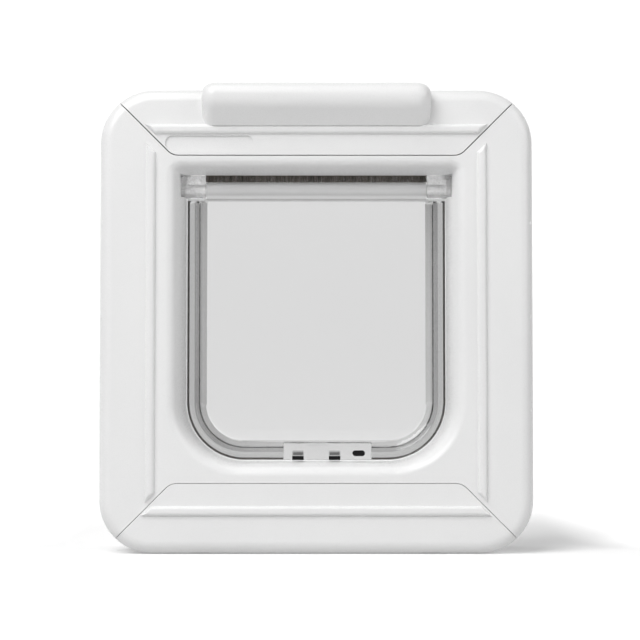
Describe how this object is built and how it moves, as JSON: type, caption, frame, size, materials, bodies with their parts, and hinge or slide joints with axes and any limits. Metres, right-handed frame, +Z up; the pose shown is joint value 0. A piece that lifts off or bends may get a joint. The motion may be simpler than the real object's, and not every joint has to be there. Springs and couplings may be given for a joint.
{
  "type": "cat flap",
  "caption": "White framed cat flap with a clear magnet-closing flap hung from its top edge, brush seals, clip-on covers and a rear frame that clamps a door panel.",
  "frame": {"origin": "middle of the footprint, on the surface that the assembled flap stands on", "axes": "+Z up, +Y through the door from the front frame to the rear frame, +X to the right seen from the front"},
  "size_m": [0.24, 0.093, 0.2595],
  "materials": {
    "white_plastic": "satin moulded white",
    "clear_plastic": "clear polished",
    "pile": "dense dark brush pile",
    "magnet": "black ferrite",
    "screw_steel": "zinc plated"
  },
  "bodies": {
    "frame": {"front_frame": "white_plastic", "top_cover": "white_plastic", "bottom_cover": "white_plastic", "rear_frame": "white_plastic", "hinge_block_left": "clear_plastic", "hinge_block_right": "clear_plastic", "top_seal": "pile", "sill_magnet_left": "magnet", "sill_magnet_right": "magnet", "magnet_retainer": "white_plastic", "retainer_screw": "screw_steel", "fixing_screws": "screw_steel"},
    "flap": {"flap": "clear_plastic", "edge_seal_left": "pile", "edge_seal_right": "pile", "flap_magnet_left": "magnet", "flap_magnet_right": "magnet", "flap_slug": "magnet"}
  },
  "joints": [
    {"name": "flap_swing", "type": "hinge", "parent": "frame", "child": "flap", "pos_m": [0, -0.0145, 0.2025], "axis": [1, 0, 0], "range_deg": [-85, 85]}
  ]
}
